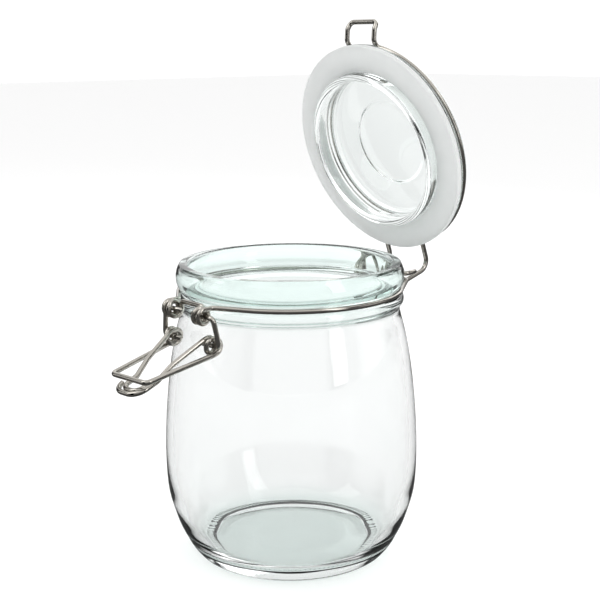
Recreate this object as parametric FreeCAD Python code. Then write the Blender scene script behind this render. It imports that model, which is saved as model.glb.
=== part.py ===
import FreeCAD, Part
import math
import os

os.makedirs("parts", exist_ok=True)
V = FreeCAD.Vector

# Wire-bail storage jar, millimetres. Z is up, the origin is the centre of the foot,
# the clamp faces -Y and the lid hinge is at +Y.

WIRE_D = 2.1            # drawn steel wire of every clip part
WIRE_R = WIRE_D / 2
PITCH = 2.35            # spacing of neighbouring coil turns
ARC_STEP = math.radians(15)   # facet angle along tight bends
RING_STEP = 3.0         # facet angle along the big rings, degrees

# glass jar
JAR_H = 126.3           # foot to sealing land
FOOT_IN_R = 36.0        # standing ring round the recessed underside
FOOT_OUT_R = 38.6
RECESS_Z = 1.4
LAND_OUT_R = 46.6
MOUTH_R = 43.0
GROOVE_Z = 114.65       # neck groove that takes the neck band
BAND_R = 46.75
GROOVE_WIRE_R = 1.3
OUTER = [(42.3, 2.0), (44.6, 5.0), (46.7, 9.0), (49.1, 14.0), (51.1, 20.0), (53.2, 28.0),
         (54.0, 38.0), (54.0, 50.0), (53.4, 62.0), (52.3, 74.0), (50.7, 86.0), (48.8, 96.0),
         (47.0, 103.0), (46.2, 106.5)]
INNER = [(36.0, 5.6), (40.0, 7.0), (43.3, 11.0), (45.9, 16.0), (48.1, 22.0), (50.1, 30.0),
         (50.9, 39.0), (50.9, 50.0), (50.3, 62.0), (49.2, 74.0), (47.6, 86.0), (45.6, 96.0),
         (43.8, 103.0), (43.0, 108.0)]

# lid, drawn closed
OPEN_DEG = 73.2         # how far open the lid stands at rest
FLANGE_Z = 129.2        # underside of the glass flange
FLANGE_R = 46.5
LID_WIRE_R = 45.25      # ring of the lid wire
LID_WIRE_Z = 132.1
SKIRT_R = 35.0
SKIRT_IN_R = 32.0
SKIRT_Z = 122.4
LID_TOP_Z = 138.6
GASKET_Z = 126.6
GASKET_IN_R = 35.1
GASKET_OUT_R = 46.7

TONGUE_X = 8.2          # legs of the catch tongue

# hinge at the back
HINGE_Y = 54.0
HINGE_Z = 114.4
STRAND_X = 16.0         # corner where a strand turns along the hinge
STRAND_DZ = 1.3         # the two hinge strands lie this far above and below the axis
LEG_X = 11.5
LID_EYE_R = 3.8
LID_EYE_TURNS = 1.5

# front eyes of the neck band
EYE_X = 11.6            # outer turn
EYE_Y = -53.6
EYE_Z = 112.3
EYE_R = 2.9
EYE_TURNS = 1.75
EYE_WIDTH = 4.1

# clamp, hanging a little skewed on its loose pins
CLAMP_C = V(1.2, -52.4, 100.6)
CLAMP_YAW = 5.0
CLAMP_DEG = 195.5       # direction of the bail at rest, measured from +Y towards +Z
COIL_R = 3.0
COIL_OUT = 13.6         # outer turn of the clamp coil from the middle
COIL_IN = 10.0          # inner turn
BAIL_L = 33.0
BAIL_HALF = 10.3
LOOP_L = 36.6
PIN_OUT = 16.3          # link leg from the middle at the clamp
PIN_IN = 6.4            # free end of the lower pin
TOP_OUT = {-1: 14.4, 1: 17.0}   # link legs from the middle at the neck eyes
TOP_IN = 3.2


def unit(v):
    """Copy of a vector at length one."""
    w = V(v)
    w.normalize()
    return w


def rounded(points):
    """Dense points of a polyline of (point, corner radius) with tangent arcs at its corners."""
    path = [points[0][0]]
    for i in range(1, len(points) - 1):
        p, r = points[i]
        a = unit(points[i - 1][0] - p)
        b = unit(points[i + 1][0] - p)
        half = a.getAngle(b) / 2
        turn = math.pi - 2 * half
        if r <= 0 or turn < 1e-3:
            continue
        trim = r / math.tan(half)
        hub = p + unit(a + b) * (r / math.sin(half))
        start = p + a * trim
        spoke = start - hub
        along = a * -r
        n = max(2, int(math.ceil(turn / ARC_STEP)))
        for k in range(n + 1):
            t = turn * k / n
            path.append(hub + spoke * math.cos(t) + along * math.sin(t))
    path.append(points[-1][0])
    return path


def coil(centre, axis, start, turns, width):
    """Points of a coil: starts at radius vector 'start', turns right-handed about 'axis' and
    drifts by 'width' along it, leaving both ends square to the axis."""
    side = axis.cross(start)
    n = int(math.ceil(2 * math.pi * abs(turns) / ARC_STEP))
    path = []
    for i in range(n + 1):
        t = i / n
        a = 2 * math.pi * turns * t
        ease = t * t * (3 - 2 * t)
        path.append(centre + start * math.cos(a) + side * math.sin(a) + axis * (width * ease))
    return path


def ring_arc(r, z, a0, a1):
    """Points of a level arc about the jar axis, angles in degrees from +X."""
    n = int(math.ceil(abs(a1 - a0) / RING_STEP))
    turn = [math.radians(a0 + (a1 - a0) * i / n) for i in range(n + 1)]
    return [V(r * math.cos(t), r * math.sin(t), z) for t in turn]


def off_ring(p, length, turn):
    """Point reached by leaving a level ring at p along its tangent; turn -1 is anticlockwise."""
    return p + unit(V(p.y, -p.x, 0) * turn) * length


def joined(*paths):
    """One path from consecutive ones, repeated points dropped."""
    path = []
    for piece in paths:
        for p in piece:
            if not path or (p - path[-1]).Length > 0.05:
                path.append(p)
    return path


def round_wire(path):
    """Solid round wire along a path of dense points."""
    normal = None
    rings = []
    for i, p in enumerate(path):
        back = unit(p - path[i - 1]) if i else unit(path[1] - p)
        ahead = unit(path[i + 1] - p) if i < len(path) - 1 else back
        t = unit(back + ahead)
        if normal is None:
            normal = t.cross(V(0, 0, 1)) if abs(t.z) < 0.9 else t.cross(V(0, 1, 0))
        normal = unit(normal - t * normal.dot(t))
        circle = Part.Circle()
        circle.Center, circle.Radius, circle.Axis, circle.XAxis = p, WIRE_R, t, normal
        rings.append(Part.Wire([circle.toShape()]))
    return Part.makeLoft(rings, True, True)


def revolve(edges):
    """Solid of revolution of a closed profile in the XZ plane."""
    face = Part.Face(Part.Wire(edges))
    return face.revolve(V(0, 0, 0), V(0, 0, 1), 360)


def line(a, b):
    """Profile line between two (radius, height) points."""
    return Part.LineSegment(V(a[0], 0, a[1]), V(b[0], 0, b[1])).toShape()


def arc3(a, b, c):
    """Profile arc through three (radius, height) points."""
    return Part.Arc(V(a[0], 0, a[1]), V(b[0], 0, b[1]), V(c[0], 0, c[1])).toShape()


def curve(points):
    """Smooth profile curve through (radius, height) points."""
    c = Part.BSplineCurve()
    c.interpolate([V(x, 0, z) for x, z in points])
    return c.toShape()


def opened(shape):
    """The closed lid swung open about the hinge."""
    s = shape.copy()
    s.rotate(V(0, HINGE_Y, HINGE_Z), V(1, 0, 0), -OPEN_DEG)
    return s


def glass_jar():
    """Thick-walled jar: foot, barrel body, neck bead, band groove and rim."""
    g = GROOVE_WIRE_R
    edges = [line((0, RECESS_Z), (33.5, RECESS_Z)),
             arc3((33.5, RECESS_Z), (35.0, 0.9), (FOOT_IN_R, 0)),
             line((FOOT_IN_R, 0), (FOOT_OUT_R, 0)),
             arc3((FOOT_OUT_R, 0), (40.7, 0.6), OUTER[0]),
             curve(OUTER),
             line(OUTER[-1], (46.2, 108.4)),
             arc3((46.2, 108.4), (47.9, 110.9), (BAND_R, GROOVE_Z - g)),
             arc3((BAND_R, GROOVE_Z - g), (BAND_R - g, GROOVE_Z), (BAND_R, GROOVE_Z + g)),
             arc3((BAND_R, GROOVE_Z + g), (48.0, 120.6), (LAND_OUT_R, JAR_H - 0.6)),
             line((LAND_OUT_R, JAR_H - 0.6), (LAND_OUT_R - 0.6, JAR_H)),
             line((LAND_OUT_R - 0.6, JAR_H), (MOUTH_R + 0.9, JAR_H)),
             arc3((MOUTH_R + 0.9, JAR_H), (MOUTH_R + 0.26, JAR_H - 0.26), (MOUTH_R, JAR_H - 0.9)),
             line((MOUTH_R, JAR_H - 0.9), INNER[-1]),
             curve(list(reversed(INNER))),
             line(INNER[0], (0, 6.2)), line((0, 6.2), (0, RECESS_Z))]
    return revolve(edges)


def neck_band():
    """One wire in the neck groove: coiled front eyes with a bridge, crossed hinge strands."""
    knee_y = -49.5
    leave_f = math.degrees(math.atan2(EYE_X, -knee_y)
                           + math.acos(BAND_R / math.hypot(EYE_X, knee_y)))
    leave_r = math.degrees(math.atan2(STRAND_X, HINGE_Y)
                           + math.acos(BAND_R / math.hypot(STRAND_X, HINGE_Y)))
    top = EYE_Z + EYE_R
    back_y = EYE_Y + EYE_R
    halves = []
    for s in (1, -1):
        inner_x = s * (EYE_X - EYE_WIDTH)
        bridge = rounded([(V(0, back_y, top), 0), (V(inner_x, back_y, top), 2.0),
                          (V(inner_x, back_y, EYE_Z), 0)])
        eye = coil(V(s * EYE_X, EYE_Y, EYE_Z), V(1, 0, 0), V(0, 0, EYE_R), EYE_TURNS,
                   -s * EYE_WIDTH)
        if s > 0:
            groove = ring_arc(BAND_R, GROOVE_Z, -90 + leave_f, 90 - leave_r)
        else:
            groove = ring_arc(BAND_R, GROOVE_Z, -90 - leave_f, -270 + leave_r)
        lead = rounded([(eye[0], 0), (V(s * EYE_X, knee_y, top), 3.0),
                        (off_ring(groove[0], 3.0, s), 40.0), (groove[0], 0)])
        z = HINGE_Z - s * STRAND_DZ
        strand = rounded([(groove[-1], 0), (off_ring(groove[-1], 3.0, -s), 40.0),
                          (V(s * STRAND_X, HINGE_Y, z), 3.0), (V(-s * 15.2, HINGE_Y, z), 2.0),
                          (V(-s * 15.2, HINGE_Y + 6.6, z - s * 0.5), 0)])
        halves.append(joined(bridge, list(reversed(eye)), lead, groove, strand))
    return round_wire(joined(list(reversed(halves[0])), halves[1]))


def lid_glass():
    """Pressed glass lid: flange with a wire groove, stepped dome and centring skirt."""
    z = FLANGE_Z
    edges = [line((0, 134.0), (17.0, 134.0)), line((17.0, 134.0), (18.2, 134.5)),
             line((18.2, 134.5), (30.4, 134.5)),
             arc3((30.4, 134.5), (31.6, 134.0), (SKIRT_IN_R, 132.8)),
             line((SKIRT_IN_R, 132.8), (SKIRT_IN_R, SKIRT_Z + 0.9)),
             arc3((SKIRT_IN_R, SKIRT_Z + 0.9), (33.5, SKIRT_Z), (SKIRT_R, SKIRT_Z + 0.9)),
             line((SKIRT_R, SKIRT_Z + 0.9), (SKIRT_R, z)),
             line((SKIRT_R, z), (FLANGE_R - 0.7, z)),
             arc3((FLANGE_R - 0.7, z), (FLANGE_R, z + 0.7), (FLANGE_R - 0.7, z + 1.4)),
             arc3((FLANGE_R - 0.7, z + 1.4), (LID_WIRE_R - 1.35, LID_WIRE_Z),
                  (45.2, LID_WIRE_Z + 1.5)),
             arc3((45.2, LID_WIRE_Z + 1.5), (44.9, LID_WIRE_Z + 2.2), (43.6, LID_WIRE_Z + 2.5)),
             line((43.6, LID_WIRE_Z + 2.5), (38.6, LID_WIRE_Z + 2.6)),
             arc3((38.6, LID_WIRE_Z + 2.6), (36.6, 135.4), (36.0, 136.6)),
             line((36.0, 136.6), (34.2, 136.8)), line((34.2, 136.8), (33.4, 137.9)),
             line((33.4, 137.9), (31.6, LID_TOP_Z)), line((31.6, LID_TOP_Z), (19.0, LID_TOP_Z)),
             line((19.0, LID_TOP_Z), (17.8, LID_TOP_Z - 0.7)),
             line((17.8, LID_TOP_Z - 0.7), (0, LID_TOP_Z - 0.7)),
             line((0, LID_TOP_Z - 0.7), (0, 134.0))]
    return opened(revolve(edges))


def gasket():
    """Flat silicone sealing ring stretched over the skirt."""
    z0, z1 = GASKET_Z, FLANGE_Z - 0.02
    edges = [line((GASKET_IN_R, z0), (GASKET_OUT_R - 0.4, z0)),
             line((GASKET_OUT_R - 0.4, z0), (GASKET_OUT_R, z0 + 0.4)),
             line((GASKET_OUT_R, z0 + 0.4), (GASKET_OUT_R, z1 - 0.4)),
             line((GASKET_OUT_R, z1 - 0.4), (GASKET_OUT_R - 0.4, z1)),
             line((GASKET_OUT_R - 0.4, z1), (GASKET_IN_R, z1)),
             line((GASKET_IN_R, z1), (GASKET_IN_R, z0))]
    return opened(revolve(edges))


def lid_wire():
    """One wire round the lid groove: catch tongue in front, two legs with hinge eyes."""
    halves = []
    for s in (1, -1):
        if s > 0:
            ring = ring_arc(LID_WIRE_R, LID_WIRE_Z, -75.5, 70.5)
        else:
            ring = ring_arc(LID_WIRE_R, LID_WIRE_Z, -104.5, -250.5)
        front, rear = ring[0], ring[-1]
        corner = off_ring(front, abs(front.x - s * TONGUE_X) / math.cos(math.radians(14.5)), s)
        tongue = rounded([(V(0, -54.6, 135.2), 0), (V(s * 8.0, -54.6, 135.2), 2.3),
                          (V(s * TONGUE_X, -52.2, 132.6), 3.0),
                          (V(s * TONGUE_X, -47.6, 130.9), 3.0), (corner, 1.8), (front, 0)])
        turn = off_ring(rear, abs(rear.x - s * LEG_X) / math.cos(math.radians(19.5)), -s)
        foot = V(s * LEG_X, HINGE_Y + LID_EYE_R, HINGE_Z)
        leg = rounded([(rear, 0), (turn, 2.4), (V(s * LEG_X, foot.y, 132.7), 5.0), (foot, 0)])
        eye = coil(V(s * LEG_X, HINGE_Y, HINGE_Z), V(1, 0, 0), V(0, LID_EYE_R, 0),
                   -LID_EYE_TURNS, -s * LID_EYE_TURNS * PITCH)
        halves.append(joined(tongue, ring, leg, eye))
    return opened(round_wire(joined(list(reversed(halves[0])), halves[1])))


def clamp_axes():
    """Pin direction, bail direction and the direction below the bail of the hanging clamp."""
    yaw, tip = math.radians(CLAMP_YAW), math.radians(CLAMP_DEG)
    a = V(math.cos(yaw), math.sin(yaw), 0)
    d = V(0, math.cos(tip), math.sin(tip))
    d = unit(d - a * d.dot(a))
    return a, d, d.cross(a) * -1


def clamp_wire():
    """One wire: the bail leaves the underside of both coils and the lapped thumb loop their
    top, so that the two cross on the way out and the thumb loop ends below the bail."""
    a, d, v = clamp_axes()
    if v.z > 0:
        v = v * -1

    def at(x, u, w):
        return CLAMP_C + a * x + d * u + v * w
    spin = a if a.cross(v).dot(d) < 0 else a * -1
    halves = []
    for s in (1, -1):
        turns = coil(at(s * COIL_OUT, 0, 0), spin, v * COIL_R, 1.5,
                     (COIL_IN - COIL_OUT) * s * spin.dot(a))
        bail = rounded([(at(0, BAIL_L, 0), 0), (at(s * BAIL_HALF, BAIL_L, 0), 2.2),
                        (at(s * COIL_OUT, 1.5, COIL_R), 3.0), (turns[0], 0)])
        if s > 0:
            loop = [(turns[-1], 0), (at(COIL_IN, 2.0, -COIL_R), 3.0), (at(8.0, 18, 0.3), 8.0),
                    (at(7.4, 26, 3.4), 4.0), (at(7.0, LOOP_L, 4.4), 5.6),
                    (at(-7.0, LOOP_L, 4.4), 5.6), (at(-7.2, 31.2, 4.0), 0)]
        else:
            loop = [(turns[-1], 0), (at(-COIL_IN, 2.0, -COIL_R), 3.0), (at(-6.6, 18, 0.3), 8.0),
                    (at(-4.8, 26, 3.4), 4.0), (at(-4.6, LOOP_L - 2.45, 4.4), 3.6),
                    (at(4.6, LOOP_L - 2.45, 4.4), 3.6), (at(4.7, 29.5, 4.0), 0)]
        halves.append(joined(bail, turns, rounded(loop)))
    return round_wire(joined(list(reversed(halves[0])), halves[1]))


def link(s):
    """Hooked link: upper pin through a neck eye, lower pin through a clamp coil."""
    a, _, _ = clamp_axes()
    low = CLAMP_C + a * (s * PIN_OUT)
    pts = [(V(s * TOP_IN, EYE_Y, EYE_Z), 0), (V(s * TOP_OUT[s], EYE_Y, EYE_Z), 1.8), (low, 1.8),
           (CLAMP_C + a * (s * PIN_IN), 0)]
    return round_wire(joined(rounded(pts)))


PARTS = {"glass_jar": glass_jar, "neck_band": neck_band, "lid_glass": lid_glass,
         "lid_gasket": gasket, "lid_wire": lid_wire, "clamp_wire": clamp_wire,
         "link_left": lambda: link(-1), "link_right": lambda: link(1)}

for name, build in PARTS.items():
    shape = build()
    box = shape.BoundBox
    print("%-11s %-6s valid %s volume %9.1f  x %.1f..%.1f y %.1f..%.1f z %.1f..%.1f" % (
        name, shape.ShapeType, shape.isValid(), shape.Volume, box.XMin, box.XMax, box.YMin,
        box.YMax, box.ZMin, box.ZMax))
    shape.exportStep("parts/%s.step" % name)
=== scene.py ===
import logging
import math
from dataclasses import dataclass, field
from enum import Enum
from typing import Any, Sequence

import bpy
import numpy as np
from mathutils import Matrix, Vector


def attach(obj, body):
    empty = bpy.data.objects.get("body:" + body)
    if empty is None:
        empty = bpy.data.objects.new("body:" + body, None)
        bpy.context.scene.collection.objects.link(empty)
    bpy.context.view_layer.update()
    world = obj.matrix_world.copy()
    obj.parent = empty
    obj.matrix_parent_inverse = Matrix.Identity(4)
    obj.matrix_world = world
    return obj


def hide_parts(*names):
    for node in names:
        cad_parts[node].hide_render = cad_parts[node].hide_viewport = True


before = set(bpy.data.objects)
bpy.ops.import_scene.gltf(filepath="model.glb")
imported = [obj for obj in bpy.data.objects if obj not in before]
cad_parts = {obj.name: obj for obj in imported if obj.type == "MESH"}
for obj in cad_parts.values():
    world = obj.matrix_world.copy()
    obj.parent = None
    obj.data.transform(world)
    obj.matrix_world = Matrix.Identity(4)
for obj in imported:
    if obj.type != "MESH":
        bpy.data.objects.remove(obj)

LOG = logging.getLogger("jar")
MM = 0.001
Array = np.ndarray
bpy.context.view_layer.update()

WIRE_R = 1.05
END_DEG = (90, 67, 45, 22)
END_DEEP = 0.55
END_TIP = 0.03
LEAST_STEP = 0.04
PITCH = 2.35
OPEN_DEG = 73.2
HINGE = np.array([0.0, 54.0, 114.4])


class Body(Enum):
    """The moving bodies of the jar."""

    JAR = "jar"
    LID = "lid"
    LINKS = "links"
    CLAMP = "clamp"


class Slot(Enum):
    """The record's material slots."""

    GLASS = "glass"
    SILICONE = "silicone"
    WIRE = "wire"


# ---------------------------------------------------------------- shader maths


class Sock:
    """A shader socket that turns Python operators into Math nodes."""

    def __init__(self, tree: bpy.types.NodeTree, socket: Any) -> None:
        """Keeps the tree and the socket."""
        self.tree, self.socket = tree, socket

    def _op(self, kind: str, a: Any, b: Any) -> "Sock":
        """Adds one Math node.

        Args:
            kind: the node's operation.
            a: first number or socket.
            b: second number or socket.

        Returns:
            The node's value.
        """
        return node(self.tree, "ShaderNodeMath", {"operation": kind}, {0: a, 1: b})

    def __add__(self, o: Any) -> "Sock":
        """Sum."""
        return self._op("ADD", self, o)

    def __radd__(self, o: Any) -> "Sock":
        """Sum with a number in front."""
        return self._op("ADD", o, self)

    def __sub__(self, o: Any) -> "Sock":
        """Difference."""
        return self._op("SUBTRACT", self, o)

    def __rsub__(self, o: Any) -> "Sock":
        """Difference from a number."""
        return self._op("SUBTRACT", o, self)

    def __mul__(self, o: Any) -> "Sock":
        """Product."""
        return self._op("MULTIPLY", self, o)

    def __rmul__(self, o: Any) -> "Sock":
        """Product with a number in front."""
        return self._op("MULTIPLY", o, self)


def node(tree: bpy.types.NodeTree, kind: str, settings: dict[str, Any],
         inputs: dict[Any, Any], out: Any = 0) -> Sock:
    """Adds one node, sets it up and links it.

    Args:
        tree: the node tree.
        kind: the node's type.
        settings: properties, set first.
        inputs: values or sockets by input name or number.
        out: the output wanted.

    Returns:
        The output as a Sock.
    """
    n = tree.nodes.new(kind)
    for key, value in settings.items():
        setattr(n, key, value)
    for key, value in inputs.items():
        if isinstance(value, Sock):
            tree.links.new(value.socket, n.inputs[key])
        else:
            n.inputs[key].default_value = value
    return Sock(tree, n.outputs[out])


def ease(tree: bpy.types.NodeTree, value: Sock, low: float, high: float) -> Sock:
    """Smooth step of a value from 0 at low to 1 at high.

    Args:
        tree: the node tree.
        value: the value that is stepped.
        low: where the step starts.
        high: where it ends.

    Returns:
        The step as a Sock.
    """
    return node(tree, "ShaderNodeMapRange", {"interpolation_type": "SMOOTHSTEP"},
                {"Value": value, "From Min": low, "From Max": high})


def blank(name: str) -> tuple[bpy.types.Material, bpy.types.NodeTree, Any, Any]:
    """Makes a material that holds only its output and a Principled shader.

    Args:
        name: the material's name.

    Returns:
        The material, its node tree, the shader and the output.
    """
    m = bpy.data.materials.new(name)
    m.use_nodes = True
    tree = m.node_tree
    tree.nodes.clear()
    out = tree.nodes.new("ShaderNodeOutputMaterial")
    shader = tree.nodes.new("ShaderNodeBsdfPrincipled")
    tree.links.new(shader.outputs[0], out.inputs[0])
    return m, tree, shader, out


@dataclass(frozen=True)
class ClearGlass:
    """Pressed soda-lime glass, a little greener where it is thick."""

    name: str
    thin: tuple[float, float, float, float] = (0.905, 0.913, 0.912, 1.0)
    thick: tuple[float, float, float, float] = (0.79, 0.905, 0.875, 1.0)
    neck_z: float = 0.107
    heel_z: float = 0.012
    rim_share: float = 0.9
    heel_share: float = 0.3
    ripple_scale: float = 55.0
    roughness: float = 0.015
    ior: float = 1.5
    lamp_tint: tuple[float, float, float, float] = (0.93, 0.96, 0.95, 1.0)

    def make(self) -> bpy.types.Material:
        """Builds the material.

        Returns:
            Glass whose tint follows height, with lamps let through.
        """
        m, tree, shader, out = blank(self.name)
        coord = node(tree, "ShaderNodeTexCoord", {}, {}, "Object")
        z = node(tree, "ShaderNodeSeparateXYZ", {}, {0: coord}, "Z")
        rim = ease(tree, z, self.neck_z - 0.004, self.neck_z + 0.012)
        heel = 1.0 - ease(tree, z, 0.002, self.heel_z)
        mask = rim * self.rim_share + heel * self.heel_share
        tint = node(tree, "ShaderNodeMix", {"data_type": "RGBA"},
                    {0: mask, 6: self.thin, 7: self.thick}, 2)
        tree.links.new(tint.socket, shader.inputs["Base Color"])
        ripple = node(tree, "ShaderNodeTexNoise", {},
                      {"Vector": coord, "Scale": self.ripple_scale, "Detail": 1.0})
        bump = node(tree, "ShaderNodeBump", {},
                    {"Height": ripple, "Strength": 0.05, "Distance": 0.0006})
        tree.links.new(bump.socket, shader.inputs["Normal"])
        shader.inputs["Roughness"].default_value = self.roughness
        shader.inputs["IOR"].default_value = self.ior
        shader.inputs["Transmission Weight"].default_value = 1.0
        lamp = node(tree, "ShaderNodeLightPath", {}, {}, "Is Shadow Ray")
        clear = node(tree, "ShaderNodeBsdfTransparent", {}, {"Color": self.lamp_tint})
        mix = node(tree, "ShaderNodeMixShader", {},
                   {0: lamp, 1: Sock(tree, shader.outputs[0]), 2: clear})
        tree.links.new(mix.socket, out.inputs[0])
        return m


@dataclass(frozen=True)
class MilkySilicone:
    """Soft translucent silicone rubber."""

    name: str
    shade: tuple[float, float, float, float] = (0.84, 0.855, 0.85, 1.0)
    light: tuple[float, float, float, float] = (0.91, 0.92, 0.915, 1.0)
    grain_scale: float = 180.0
    rough_low: float = 0.38
    rough_span: float = 0.14
    clearness: float = 0.35
    ior: float = 1.41

    def make(self) -> bpy.types.Material:
        """Builds the material.

        Returns:
            Silicone with a faint mottling of colour and gloss.
        """
        m, tree, shader, _ = blank(self.name)
        coord = node(tree, "ShaderNodeTexCoord", {}, {}, "Object")
        grain = node(tree, "ShaderNodeTexNoise", {},
                     {"Vector": coord, "Scale": self.grain_scale, "Detail": 3.0})
        tint = node(tree, "ShaderNodeMix", {"data_type": "RGBA"},
                    {0: grain, 6: self.shade, 7: self.light}, 2)
        tree.links.new(tint.socket, shader.inputs["Base Color"])
        rough = self.rough_low + grain * self.rough_span
        tree.links.new(rough.socket, shader.inputs["Roughness"])
        shader.inputs["Transmission Weight"].default_value = self.clearness
        shader.inputs["IOR"].default_value = self.ior
        return m


@dataclass(frozen=True)
class BrightWire:
    """Bright drawn steel wire with fine marks along its length."""

    name: str
    shade: tuple[float, float, float, float] = (0.40, 0.38, 0.345, 1.0)
    light: tuple[float, float, float, float] = (0.56, 0.535, 0.49, 1.0)
    mark_scale: tuple[float, float, float] = (9.0, 60.0, 1.0)
    cloud_scale: float = 140.0
    rough_low: float = 0.10
    rough_span: float = 0.14

    def make(self) -> bpy.types.Material:
        """Builds the material from the wire's own length and round coordinates.

        Returns:
            Metal with drawing marks along the wire.
        """
        m, tree, shader, _ = blank(self.name)
        uv = node(tree, "ShaderNodeUVMap", {"uv_map": "along"}, {}, 0)
        place = node(tree, "ShaderNodeMapping", {}, {"Vector": uv, "Scale": self.mark_scale})
        marks = node(tree, "ShaderNodeTexNoise", {}, {"Vector": place, "Scale": 1.0, "Detail": 3.0})
        cloud = node(tree, "ShaderNodeTexNoise", {},
                     {"Vector": node(tree, "ShaderNodeTexCoord", {}, {}, "Object"),
                      "Scale": self.cloud_scale})
        tint = node(tree, "ShaderNodeMix", {"data_type": "RGBA"},
                    {0: cloud, 6: self.shade, 7: self.light}, 2)
        tree.links.new(tint.socket, shader.inputs["Base Color"])
        rough = self.rough_low + marks * self.rough_span
        tree.links.new(rough.socket, shader.inputs["Roughness"])
        bump = node(tree, "ShaderNodeBump", {},
                    {"Height": marks, "Strength": 0.12, "Distance": 0.0001})
        tree.links.new(bump.socket, shader.inputs["Normal"])
        shader.inputs["Metallic"].default_value = 1.0
        return m


# ---------------------------------------------------------------- surfaces


def arc(a: Sequence[float], b: Sequence[float], c: Sequence[float], n: int = 8) -> Array:
    """Points of the circle arc from a through b to c in the (radius, height) plane.

    The centre is where the two chords' upright bisectors meet; the angle runs evenly
    from a to c on the side that holds b.

    Args:
        a: first point.
        b: a point on the way.
        c: last point.
        n: how many points.

    Returns:
        The points.
    """
    p, q, r = (np.asarray(v, float) for v in (a, b, c))
    m = np.array([q - p, r - q]) * 2
    centre = np.linalg.solve(m, [q @ q - p @ p, r @ r - q @ q])
    t = [math.atan2(*(v - centre)[::-1]) for v in (p, q, r)]
    sweep = (t[2] - t[0]) % (2 * math.pi)
    if (t[1] - t[0]) % (2 * math.pi) > sweep:
        sweep -= 2 * math.pi
    k = t[0] + sweep * np.linspace(0, 1, n)
    return centre + math.dist(p, centre) * np.c_[np.cos(k), np.sin(k)]


def smooth(points: Sequence[Sequence[float]], n: int = 4) -> Array:
    """Catmull-Rom curve: each span is the cubic whose end slopes are half the
    difference of the neighbours.

    Args:
        points: what the curve passes through.
        n: steps a span.

    Returns:
        The curve's points.
    """
    p = np.asarray(points, float)
    q = np.vstack([2 * p[0] - p[1], p, 2 * p[-1] - p[-2]])
    t = (np.arange(n) / n)[None, :, None]
    a, b, c, d = (q[i:len(q) - 3 + i, None, :] for i in range(4))
    s = 0.5 * (2 * b + (c - a) * t + (2 * a - 5 * b + 4 * c - d) * t**2
               + (3 * b - a - 3 * c + d) * t**3)
    return np.vstack([s.reshape(-1, p.shape[1]), p[-1:]])


def chain(*runs: Any) -> Array:
    """Joins consecutive runs into one profile and drops repeated points.

    Args:
        runs: single points or arrays of points.

    Returns:
        The profile's points.
    """
    p = np.vstack([np.atleast_2d(np.asarray(r, float)) for r in runs])
    keep = np.r_[True, np.linalg.norm(np.diff(p, axis=0), axis=1) > 1e-4]
    return p[keep]


def add_mesh(name: str, verts: Array, faces: list[Any], uv: Array | None = None) -> bpy.types.Object:
    """Puts a surface in millimetres into the scene in metres, smooth shaded.

    Args:
        name: the piece's name.
        verts: corner positions.
        faces: face index lists, outward.
        uv: one UV pair a face corner, if the finish reads it.

    Returns:
        The new object at the origin.
    """
    mesh = bpy.data.meshes.new(name)
    mesh.from_pydata((verts * MM).tolist(), [], faces)
    mesh.polygons.foreach_set("use_smooth", np.ones(len(mesh.polygons), bool))
    if uv is not None:
        mesh.uv_layers.new(name="along").data.foreach_set("uv", uv.ravel())
    mesh.update()
    obj = bpy.data.objects.new(name, mesh)
    bpy.context.scene.collection.objects.link(obj)
    return obj


def swing(points: Array, deg: float = -OPEN_DEG) -> Array:
    """Turns points about the lid hinge, which runs along X.

    Args:
        points: positions in millimetres.
        deg: the turn, by default from closed to the open rest position.

    Returns:
        The turned points.
    """
    t = math.radians(deg)
    turn = np.array([[1, 0, 0], [0, math.cos(t), -math.sin(t)], [0, math.sin(t), math.cos(t)]])
    return (points - HINGE) @ turn.T + HINGE


def revolve(profile: Array, steps: int, closed: bool) -> tuple[Array, list[Any]]:
    """Surface of revolution: each profile point (r, z) becomes the ring
    (r cos a, r sin a, z). An open profile starts and ends on the axis.

    Args:
        profile: radius and height, outer side first going up.
        steps: points round the axis.
        closed: True for a ring whose profile is a loop off the axis.

    Returns:
        Vertices and outward faces.
    """
    a = np.linspace(0, 2 * math.pi, steps, endpoint=False)
    body = profile if closed else profile[1:-1]
    r, z = body[:, :1], body[:, 1:]
    verts = np.stack([r * np.cos(a), r * np.sin(a), z + 0 * a], -1).reshape(-1, 3)
    rows = len(body)
    i = np.arange(rows if closed else rows - 1)[:, None]
    j = np.arange(steps)[None, :]
    up, on = (i + 1) % rows, (j + 1) % steps
    quads = np.stack([i * steps + j, i * steps + on, up * steps + on, up * steps + j], -1)
    faces = quads.reshape(-1, 4).tolist()
    if not closed:
        low, high = len(verts), len(verts) + 1
        verts = np.vstack([verts, [0, 0, profile[0, 1]], [0, 0, profile[-1, 1]]])
        k = np.arange(steps)
        nxt = (k + 1) % steps
        top = (rows - 1) * steps
        faces += np.c_[np.full(steps, low), nxt, k].tolist()
        faces += np.c_[np.full(steps, high), top + k, top + nxt].tolist()
    return verts, faces


# ---------------------------------------------------------------- wire paths


def unit(v: Array) -> Array:
    """The vector at length one."""
    return v / np.linalg.norm(v)


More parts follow.
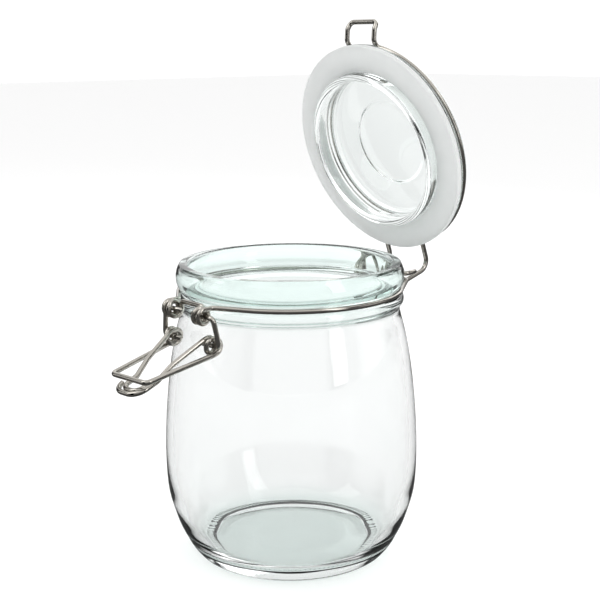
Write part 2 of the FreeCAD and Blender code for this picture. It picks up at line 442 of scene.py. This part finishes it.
def bend(corners: Sequence[tuple[Sequence[float], float]], step: float = 5.0) -> Array:
    """Straight runs with tangent arcs: at a corner of half angle h the arc of radius r
    starts r / tan h from it and its centre lies r / sin h along the inward bisector.

    Args:
        corners: points and corner radii, ends first and last.
        step: degrees between arc points.

    Returns:
        The path's points.
    """
    pts = [np.asarray(c[0], float) for c in corners]
    path = [pts[0][None]]
    for i in range(1, len(pts) - 1):
        p, r = pts[i], corners[i][1]
        a, b = unit(pts[i - 1] - p), unit(pts[i + 1] - p)
        half = math.acos(max(-1.0, min(1.0, float(a @ b)))) / 2
        turn = math.pi - 2 * half
        if r <= 0 or turn < 1e-3:
            continue
        start, hub = p + a * r / math.tan(half), p + unit(a + b) * r / math.sin(half)
        t = np.linspace(0, turn, max(3, int(math.degrees(turn) / step) + 1))[:, None]
        path.append(hub + (start - hub) * np.cos(t) - a * r * np.sin(t))
    return np.vstack([*path, pts[-1][None]])


def coil(centre: Sequence[float], axis: Array, start: Array, turns: float, width: float) -> Array:
    """Coil: the start vector turned about the axis, drifting along it by
    width times t squared times (3 - 2t), so that both ends leave square.

    Args:
        centre: middle of the first turn.
        axis: unit vector along the coil.
        start: from the centre to the first point.
        turns: how many, negative for the other way round.
        width: drift along the axis.

    Returns:
        The coil's points.
    """
    t = np.linspace(0, 1, int(abs(turns) * 48) + 2)[:, None]
    a = 2 * math.pi * turns * t
    return (np.asarray(centre) + start * np.cos(a) + np.cross(axis, start) * np.sin(a)
            + axis * width * t * t * (3 - 2 * t))


def ring(r: float, z: float, a0: float, a1: float) -> Array:
    """Level arc about the jar's axis.

    Args:
        r: radius.
        z: height.
        a0: first angle, in degrees from +X.
        a1: last angle.

    Returns:
        The arc's points.
    """
    t = np.radians(np.linspace(a0, a1, int(abs(a1 - a0) / 1.5) + 2))
    return np.stack([r * np.cos(t), r * np.sin(t), 0 * t + z], -1)


def off_ring(p: Array, length: float, turn: int) -> Array:
    """Point reached by leaving a level ring at p along its tangent."""
    return p + unit(np.array([p[1], -p[0], 0.0]) * turn) * length


def tube(name: str, path: Array, sides: int = 20) -> bpy.types.Object:
    """Round wire: a circle carried along the path without twist, with domed ends.

    Each station's normal is the previous one made square to the new tangent, so the
    circle never spins. Each end is a shallow dome: its circles shrink as the cosine of
    an angle while they rise by END_DEEP of the wire's radius times one minus its sine.

    Args:
        name: the piece's name.
        path: centre points in millimetres.
        sides: points round the wire.

    Returns:
        The wire's mesh object.
    """
    keep = np.r_[True, np.linalg.norm(np.diff(path, axis=0), axis=1) > LEAST_STEP]
    p = path[keep]
    d = np.diff(p, axis=0)
    d /= np.linalg.norm(d, axis=1)[:, None]
    tan = np.vstack([d[:1], d[:-1] + d[1:], d[-1:]])
    tan /= np.linalg.norm(tan, axis=1)[:, None]
    normal = np.empty_like(tan)
    n = np.cross(tan[0], [0, 0, 1.0] if abs(tan[0, 2]) < 0.9 else [0, 1.0, 0])
    for i, t in enumerate(tan):
        n = unit(n - t * (n @ t))
        normal[i] = n
    cap = np.radians(END_DEG)
    rise, slim = END_DEEP * WIRE_R * (1 - np.sin(cap)), np.cos(cap)
    slim[0] = END_TIP
    centre = np.vstack([p[0] + tan[0] * rise[:, None], p[1:-1], p[-1] - tan[-1] * rise[::-1, None]])
    m, k = len(p) - 2, len(cap)
    scale = np.r_[slim, np.ones(m), slim[::-1]]
    nn = np.vstack([np.repeat(normal[:1], k, 0), normal[1:-1], np.repeat(normal[-1:], k, 0)])
    tt = np.vstack([np.repeat(tan[:1], k, 0), tan[1:-1], np.repeat(tan[-1:], k, 0)])
    a = np.linspace(0, 2 * math.pi, sides, endpoint=False)[None, :, None]
    side = np.cross(tt, nn)
    verts = (centre[:, None] + WIRE_R * scale[:, None, None]
             * (nn[:, None] * np.cos(a) + side[:, None] * np.sin(a)))
    rows = len(centre)
    i, j = np.arange(rows - 1)[:, None], np.arange(sides)[None]
    on = (j + 1) % sides
    quads = np.stack([i * sides + j, i * sides + on, (i + 1) * sides + on,
                      (i + 1) * sides + j], -1).reshape(-1, 4)
    run = np.r_[0, np.cumsum(np.linalg.norm(np.diff(centre, axis=0), axis=1))] / 10
    u = np.stack([run[i], run[i], run[i + 1], run[i + 1]], -1) + 0.0 * j[..., None]
    v = np.stack([j, j + 1, j + 1, j], -1) / sides + 0.0 * i[..., None]
    uv = np.stack([u, v], -1).reshape(-1, 2)
    ends = [list(range(sides))[::-1], list(range((rows - 1) * sides, rows * sides))]
    uv = np.vstack([uv, np.zeros((2 * sides, 2))])
    return add_mesh(name, verts.reshape(-1, 3), quads.tolist() + ends, uv)


def dress(obj: bpy.types.Object, finish: bpy.types.Material, body: Body, cad: str) -> None:
    """Gives a piece its finish and its body, and hides the CAD node it stands for.

    Args:
        obj: the piece.
        finish: its material.
        body: the body that carries it.
        cad: the CAD node that it replaces.
    """
    obj.data.materials.append(finish)
    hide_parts(cad)
    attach(obj, body.value)
    LOG.info("%s: %d faces on %s", obj.name, len(obj.data.polygons), body.value)


# ---------------------------------------------------------------- the jar


@dataclass
class Jar:
    """The pressed glass jar and the wire in its neck groove."""

    height: float = 126.3
    band_r: float = 46.75
    groove_z: float = 114.65
    groove_r: float = 1.3
    eye_x: float = 11.6
    eye_y: float = -53.6
    eye_z: float = 112.3
    eye_r: float = 2.9
    eye_turns: float = 1.75
    eye_drift: float = 4.1
    knee_y: float = -49.5
    strand_x: float = 16.0
    strand_end: float = 15.2
    strand_tail: float = 6.6
    strand_gap: float = 1.3
    recess_z: float = 1.4
    bottom_z: float = 6.2
    foot_in: float = 36.0
    foot_out: float = 38.6
    ridge_high: float = 0.9
    seam_deg: float = 40.5
    seam_deep: float = 0.10
    seam_wide: float = 0.6
    steps: int = 600
    ridges: int = 120
    outer: tuple[tuple[float, float], ...] = (
        (42.3, 2.0), (44.6, 5.0), (46.7, 9.0), (49.1, 14.0), (51.1, 20.0), (53.2, 28.0),
        (54.0, 38.0), (54.0, 50.0), (53.4, 62.0), (52.3, 74.0), (50.7, 86.0), (48.8, 96.0),
        (47.0, 103.0), (46.2, 106.5))
    inner: tuple[tuple[float, float], ...] = (
        (36.0, 5.6), (40.0, 7.0), (43.3, 11.0), (45.9, 16.0), (48.1, 22.0), (50.1, 30.0),
        (50.9, 39.0), (50.9, 50.0), (50.3, 62.0), (49.2, 74.0), (47.6, 86.0), (45.6, 96.0),
        (43.8, 103.0), (43.0, 108.0))

    def profile(self) -> Array:
        """The wall's outline from the underside, up the outside and down the inside.

        Returns:
            Radius and height of each point.
        """
        g, b, z, h = self.groove_r, self.band_r, self.groove_z, self.height
        low, floor = self.recess_z, self.bottom_z
        return chain((0, low), (20, low), (33.5, low),
                     arc((33.5, low), (35, 0.9), (self.foot_in, 0), 5), (37.3, 0),
                     arc((self.foot_out, 0), (40.7, 0.6), self.outer[0], 5), smooth(self.outer, 3),
                     (46.2, 108.4), arc((46.2, 108.4), (47.9, 110.9), (b, z - g), 8),
                     arc((b, z - g), (b - g, z), (b, z + g), 7),
                     arc((b, z + g), (48.0, 120.6), (46.6, h - 0.6), 12),
                     arc((46.6, h - 0.6), (46.4, h - 0.15), (46, h), 4), (45, h), (43.9, h),
                     arc((43.9, h), (43.26, h - 0.26), (43, h - 0.9), 5),
                     smooth(self.inner, 3)[::-1], (20, floor), (0, floor))

    def glass(self) -> bpy.types.Object:
        """The glass: the outline revolved, with radial ridges on the foot ring, raised by
        a squared cosine of the angle, and two fine mould seams, a bell curve of the angle
        taken off the outside so that it stays within the wall's size.

        Returns:
            The jar's mesh object.
        """
        verts, faces = revolve(self.profile(), self.steps, False)
        r, a = np.hypot(verts[:, 0], verts[:, 1]), np.arctan2(verts[:, 1], verts[:, 0])
        foot = (verts[:, 2] < 0.05) & (r > 36.5)
        verts[:, 2] += np.where(foot, self.ridge_high * np.cos(a * self.ridges / 2) ** 2, 0)
        gap = np.abs(np.angle(np.exp(2j * (a + math.radians(self.seam_deg))))) / 2
        outside = (verts[:, 2] > 3) & (r > 46)
        seam = self.seam_deep * np.exp(-((gap * r / self.seam_wide) ** 2)) * outside
        verts[:, :2] *= (1 - seam / np.maximum(r, 1))[:, None]
        return add_mesh("jar_glass", verts, faces)

    def band(self) -> bpy.types.Object:
        """The neck wire: front eyes with a bridge, two groove runs, crossed hinge strands.

        Returns:
            The wire's mesh object.
        """
        knee, top, back = self.knee_y, self.eye_z + self.eye_r, self.eye_y + self.eye_r
        front = math.degrees(math.atan2(self.eye_x, -knee)
                             + math.acos(self.band_r / math.hypot(self.eye_x, knee)))
        rear = math.degrees(math.atan2(self.strand_x, HINGE[1])
                            + math.acos(self.band_r / math.hypot(self.strand_x, HINGE[1])))
        halves = []
        for s in (1, -1):
            inner = s * (self.eye_x - self.eye_drift)
            bridge = bend([((0, back, top), 0), ((inner, back, top), 2.0),
                           ((inner, back, self.eye_z), 0)])
            eye = coil((s * self.eye_x, self.eye_y, self.eye_z), np.array([1.0, 0, 0]),
                       np.array([0, 0, self.eye_r]), self.eye_turns, -s * self.eye_drift)
            groove = ring(self.band_r, self.groove_z, -90 + s * front,
                          90 - rear if s > 0 else -270 + rear)
            lead = bend([(eye[0], 0), ((s * self.eye_x, knee, top), 3.0),
                         (off_ring(groove[0], 3.0, s), 40.0), (groove[0], 0)])
            z = HINGE[2] - s * self.strand_gap
            strand = bend([(groove[-1], 0), (off_ring(groove[-1], 3.0, -s), 40.0),
                           ((s * self.strand_x, HINGE[1], z), 3.0),
                           ((-s * self.strand_end, HINGE[1], z), 2.0),
                           ((-s * self.strand_end, HINGE[1] + self.strand_tail, z - s * 0.5), 0)])
            halves.append(np.vstack([bridge, eye[::-1], lead, groove, strand]))
        return tube("neck_wire", np.vstack([halves[0][::-1], halves[1]]))


@dataclass
class Lid:
    """The domed glass lid with its ring and hinge wire, drawn closed and swung open."""

    flange_z: float = 129.2
    flange_r: float = 46.5
    wire_r: float = 45.25
    wire_z: float = 132.1
    top_z: float = 138.6
    tongue_x: float = 8.2
    tongue_y: float = -54.6
    tongue_z: float = 135.2
    front_deg: float = 14.5
    leg_x: float = 11.5
    rear_deg: float = 19.5
    eye_r: float = 3.8
    eye_turns: float = 1.5
    skirt_in: float = 32.0
    skirt_out: float = 35.0
    skirt_z: float = 123.3
    ceiling_z: float = 134.5
    seal_z: float = 126.6
    seal_in: float = 35.1
    seal_out: float = 46.7
    seal_round: float = 0.5

    def glass(self) -> bpy.types.Object:
        """The pressed lid: its stepped outline revolved from the skirt's inside round.

        Returns:
            The lid's mesh object.
        """
        z, w, r, t = self.flange_z, self.wire_z, self.flange_r, self.top_z
        a, b, low, high = self.skirt_in, self.skirt_out, self.skirt_z, self.ceiling_z
        outline = chain((0, high - 0.5), (17.0, high - 0.5), (18.2, high), (30.4, high),
                        arc((30.4, high), (31.6, 134.0), (a, 132.8)), (a, low),
                        arc((a, low), (33.5, 122.4), (b, low)), (b, z), (r - 0.7, z),
                        arc((r - 0.7, z), (r, z + 0.7), (r - 0.7, z + 1.4)),
                        arc((r - 0.7, z + 1.4), (self.wire_r - 1.35, w), (45.2, w + 1.5)),
                        arc((45.2, w + 1.5), (44.9, w + 2.2), (43.6, w + 2.5)), (38.6, w + 2.6),
                        arc((38.6, w + 2.6), (36.6, 135.4), (36.0, 136.6)), (34.2, 136.8),
                        (33.4, 137.9), (31.6, t), (19.0, t), (17.8, t - 0.7), (0, t - 0.7))
        verts, faces = revolve(outline, 256, False)
        obj = add_mesh("lid_pressed_glass", swing(verts), faces)
        edge = obj.modifiers.new("soft edges", "BEVEL")
        edge.width, edge.segments, edge.angle_limit = 0.00025, 2, math.radians(30)
        return obj

    def seal(self) -> bpy.types.Object:
        """The silicone ring: a flat section with rounded corners revolved.

        Returns:
            The ring's mesh object.
        """
        z0, z1, a, b = self.seal_z, self.flange_z - 0.02, self.seal_in, self.seal_out
        c = self.seal_round
        outline = chain((a + 0.4, z0), (b - c, z0),
                        arc((b - c, z0), (b - 0.15, z0 + 0.15), (b, z0 + c), 5),
                        arc((b, z1 - c), (b - 0.15, z1 - 0.15), (b - c, z1), 5),
                        (a, z1), (a, z0 + 0.4))
        verts, faces = revolve(outline, 256, True)
        return add_mesh("lid_seal", swing(verts), faces)

    def wire(self) -> bpy.types.Object:
        """The lid wire: tongue in front, ring, two legs and their hinge eyes.

        Returns:
            The wire's mesh object.
        """
        halves = []
        for s in (1, -1):
            run = ring(self.wire_r, self.wire_z, -90 + s * self.front_deg,
                       90 - self.rear_deg if s > 0 else -270 + self.rear_deg)
            front, rear = run[0], run[-1]
            corner = off_ring(front, abs(front[0] - s * self.tongue_x)
                              / math.cos(math.radians(self.front_deg)), s)
            tongue = bend([((0, self.tongue_y, self.tongue_z), 0),
                           ((s * 8.0, self.tongue_y, self.tongue_z), 2.3),
                           ((s * self.tongue_x, -52.2, 132.6), 3.0),
                           ((s * self.tongue_x, -47.6, 130.9), 3.0), (corner, 1.8), (front, 0)])
            turn = off_ring(rear, abs(rear[0] - s * self.leg_x)
                            / math.cos(math.radians(self.rear_deg)), -s)
            foot = (s * self.leg_x, HINGE[1] + self.eye_r, HINGE[2])
            leg = bend([(rear, 0), (turn, 2.4), ((foot[0], foot[1], 132.7), 5.0), (foot, 0)])
            eye = coil((s * self.leg_x, HINGE[1], HINGE[2]), np.array([1.0, 0, 0]),
                       np.array([0, self.eye_r, 0]), -self.eye_turns, -s * self.eye_turns * PITCH)
            halves.append(np.vstack([tongue, run, leg, eye]))
        return tube("lid_hinge_wire", swing(np.vstack([halves[0][::-1], halves[1]])))


@dataclass
class Clamp:
    """The clamp wire and the two hooked links that carry it."""

    centre: Array = field(default_factory=lambda: np.array([1.2, -52.4, 100.6]))
    yaw: float = 5.0
    tilt: float = 195.5
    coil_r: float = 3.0
    coil_out: float = 13.6
    coil_in: float = 10.0
    bail: float = 33.0
    bail_half: float = 10.3
    coil_turns: float = 1.5
    loop: float = 36.6
    loop_half: float = 7.0
    loop_low: float = 4.4
    lap: float = 2.45
    lap_half: float = 4.6
    hook_eye: tuple[float, float] = (-53.6, 112.3)
    hook_tops: tuple[float, float] = (14.4, 17.0)
    hook_in: float = 3.2
    pin_out: float = 16.3
    pin_in: float = 6.4
    hook_bend: float = 1.8

    def axes(self) -> tuple[Array, Array, Array]:
        """The clamp's own directions.

        Returns:
            Along the pins, along the bail, and below the bail.
        """
        y, t = math.radians(self.yaw), math.radians(self.tilt)
        a = np.array([math.cos(y), math.sin(y), 0.0])
        d = np.array([0.0, math.cos(t), math.sin(t)])
        d = unit(d - a * (d @ a))
        v = np.cross(a, d)
        return a, d, v if v[2] < 0 else -v

    def wire(self) -> bpy.types.Object:
        """The clamp: the bail leaves the coils' underside and the lapped thumb loop their
        top, so the two cross on the way out.

        Returns:
            The wire's mesh object.
        """
        a, d, v = self.axes()

        def at(x: float, u: float, w: float) -> Array:
            """A point by its place along the pin, along the bail and below it."""
            return self.centre + a * x + d * u + v * w

        c, q, n, m = self.coil_r, self.coil_in, self.loop, self.loop - self.lap
        wide, slim, low = self.loop_half, self.lap_half, self.loop_low
        spin = a if np.cross(a, v) @ d < 0 else -a
        halves = []
        for s in (1, -1):
            eye = coil(at(s * self.coil_out, 0, 0), spin, v * c, self.coil_turns,
                       (q - self.coil_out) * s * float(spin @ a))
            bail = bend([(at(0, self.bail, 0), 0), (at(s * self.bail_half, self.bail, 0), 2.2),
                         (at(s * self.coil_out, 1.5, c), 3.0), (eye[0], 0)])
            if s > 0:
                thumb = [(eye[-1], 0), (at(q, 2.0, -c), 3.0), (at(8.0, 18, 0.3), 8.0),
                         (at(7.4, 26, 3.4), 4.0), (at(wide, n, low), 5.6),
                         (at(-wide, n, low), 5.6), (at(-7.2, 31.2, 4.0), 0)]
            else:
                thumb = [(eye[-1], 0), (at(-q, 2.0, -c), 3.0), (at(-6.6, 18, 0.3), 8.0),
                         (at(-4.8, 26, 3.4), 4.0), (at(-slim, m, low), 3.6),
                         (at(slim, m, low), 3.6), (at(4.7, 29.5, 4.0), 0)]
            halves.append(np.vstack([bail, eye, bend(thumb)]))
        return tube("clamp_bail_wire", np.vstack([halves[0][::-1], halves[1]]))

    def link(self, side: int) -> bpy.types.Object:
        """One hooked link: upper pin in a neck eye, lower pin in a clamp coil.

        Args:
            side: 1 for the right link, -1 for the left.

        Returns:
            The link's mesh object.
        """
        a, _, _ = self.axes()
        top, eye = self.hook_tops[side > 0], self.hook_eye
        path = bend([((side * self.hook_in, *eye), 0), ((side * top, *eye), self.hook_bend),
                     (self.centre + a * side * self.pin_out, self.hook_bend),
                     (self.centre + a * side * self.pin_in, 0)])
        return tube("right_hook" if side > 0 else "left_hook", path)


# ---------------------------------------------------------------- studio


@dataclass
class Studio:
    """Pale floor, soft lights and the camera."""

    lens: float = 72.06
    place: tuple[float, float, float] = (0.3781, -0.3229, 0.2158)
    yaw: float = 49.026
    pitch: float = 12.087
    roll: float = -0.366
    sensor: float = 36.0
    reach: float = 6000.0
    drop: float = 0.05
    aim: tuple[float, float, float] = (0.0, 0.0, 0.1)
    heading: tuple[float, float] = (0.65, 0.76)
    backdrop: float = 1.1

    def floor(self) -> None:
        """A wide white floor, not part of the object, that reflections meet as dark."""
        verts = np.array([[-1, -1, 0], [1, -1, 0], [1, 1, 0], [-1, 1, 0]]) * self.reach
        verts[:, 2] = -self.drop
        obj = add_mesh("studio_floor", verts, [[0, 1, 2, 3]])
        m, tree, shader, _ = blank("white_floor")
        gloss = (node(tree, "ShaderNodeLightPath", {}, {}, "Is Glossy Ray")
                 * (1.0 - node(tree, "ShaderNodeLightPath", {}, {}, "Is Transmission Ray")))
        shade = node(tree, "ShaderNodeMix", {"data_type": "RGBA"},
                     {0: gloss, 6: (0.99, 0.99, 0.99, 1.0), 7: (0.07, 0.07, 0.07, 1.0)}, 2)
        tree.links.new(shade.socket, shader.inputs["Base Color"])
        shader.inputs["Roughness"].default_value = 1.0
        obj.data.materials.append(m)

    def sky(self) -> None:
        """White all round for the eye, with darker bands that only reflections meet."""
        world = bpy.data.worlds.new("studio")
        bpy.context.scene.world = world
        world.use_nodes = True
        tree = world.node_tree
        tree.nodes.clear()
        out = tree.nodes.new("ShaderNodeOutputWorld")
        way = node(tree, "ShaderNodeTexCoord", {}, {}, "Generated")
        z = node(tree, "ShaderNodeSeparateXYZ", {}, {0: way}, "Z")
        x = node(tree, "ShaderNodeSeparateXYZ", {}, {0: way}, "X")
        y = node(tree, "ShaderNodeSeparateXYZ", {}, {0: way}, "Y")
        c, d = self.heading
        side = x * c + y * d
        cross = x * d - y * c
        left = ease(tree, side, -0.99, -0.90) - ease(tree, side, -0.66, -0.52)
        right = ease(tree, side, 0.52, 0.66) - ease(tree, side, 0.90, 0.99)
        flank = (left + right) * (1.0 - ease(tree, z, 0.45, 0.8))
        front = ease(tree, cross, 0.55, 0.8) * (1.0 - ease(tree, z, 0.25, 0.6))
        spread = node(tree, "ShaderNodeLightPath", {}, {}, "Is Diffuse Ray")
        level = 1.0 - (flank * 0.98 + front * 0.7) * (1.0 - spread)
        seen = node(tree, "ShaderNodeLightPath", {}, {}, "Is Camera Ray")
        strength = level * (1.0 - seen) + seen * self.backdrop
        light = node(tree, "ShaderNodeBackground", {}, {0: (1, 1, 1, 1), 1: strength})
        tree.links.new(light.socket, out.inputs[0])

    def lamp(self, name: str, spot: Sequence[float], size: tuple[float, float], power: float) -> None:
        """Adds one soft box aimed at the jar.

        Args:
            name: the lamp's name.
            spot: where it stands, in metres.
            size: its width and height in metres.
            power: its watts.
        """
        data = bpy.data.lights.new(name, "AREA")
        data.shape, data.size, data.size_y, data.energy = "RECTANGLE", size[0], size[1], power
        obj = bpy.data.objects.new(name, data)
        obj.location = spot
        obj.rotation_euler = (Vector(self.aim) - Vector(spot)).to_track_quat("-Z", "Y").to_euler()
        bpy.context.scene.collection.objects.link(obj)

    def camera(self) -> None:
        """The camera from its place, heading, dip and roll."""
        y, p, r = (math.radians(v) for v in (self.yaw, self.pitch, self.roll))
        ahead = np.array([-math.sin(y) * math.cos(p), math.cos(y) * math.cos(p), -math.sin(p)])
        right = np.array([math.cos(y), math.sin(y), 0.0])
        up = np.cross(right, ahead)
        right, up = right * math.cos(r) + up * math.sin(r), up * math.cos(r) - right * math.sin(r)
        m = Matrix.Identity(4)
        for k, axis in enumerate((right, up, -ahead)):
            for row in range(3):
                m[row][k] = axis[row]
        m.translation = Vector(self.place)
        data = bpy.data.cameras.new("camera")
        data.lens, data.sensor_width = self.lens, self.sensor
        obj = bpy.data.objects.new("camera", data)
        obj.matrix_world = m
        bpy.context.scene.collection.objects.link(obj)
        bpy.context.scene.camera = obj

    def build(self) -> None:
        """Sets up the floor, sky, lamps and camera."""
        bpy.context.scene.view_settings.view_transform = "Standard"
        self.floor()
        self.sky()
        self.lamp("key_box", (-0.5, -0.7, 0.9), (0.5, 0.8), 2.6)
        self.lamp("side_box", (0.9, 0.1, 0.5), (0.25, 0.9), 2.0)
        self.lamp("back_box", (-0.2, 0.9, 0.6), (0.9, 0.6), 2.2)
        self.camera()


def main() -> None:
    """Builds the jar, the lid, the clamp and the studio in order."""
    logging.basicConfig(level=logging.INFO, format="%(message)s")
    jar, lid, clamp = Jar(), Lid(), Clamp()
    clear = ClearGlass("clear_glass").make()
    lid_clear = ClearGlass("lid_clear_glass", thick=(0.89, 0.925, 0.915, 1.0)).make()
    milky = MilkySilicone("milky_silicone").make()
    bright = BrightWire("bright_wire").make()
    dress(jar.glass(), clear, Body.JAR, "glass_jar")
    dress(jar.band(), bright, Body.JAR, "neck_band")
    dress(lid.glass(), lid_clear, Body.LID, "lid_glass")
    dress(lid.seal(), milky, Body.LID, "lid_gasket")
    dress(lid.wire(), bright, Body.LID, "lid_wire")
    dress(clamp.wire(), bright, Body.CLAMP, "clamp_wire")
    dress(clamp.link(-1), bright, Body.LINKS, "link_left")
    dress(clamp.link(1), bright, Body.LINKS, "link_right")
    Studio().build()


if __name__ == "__main__":
    main()
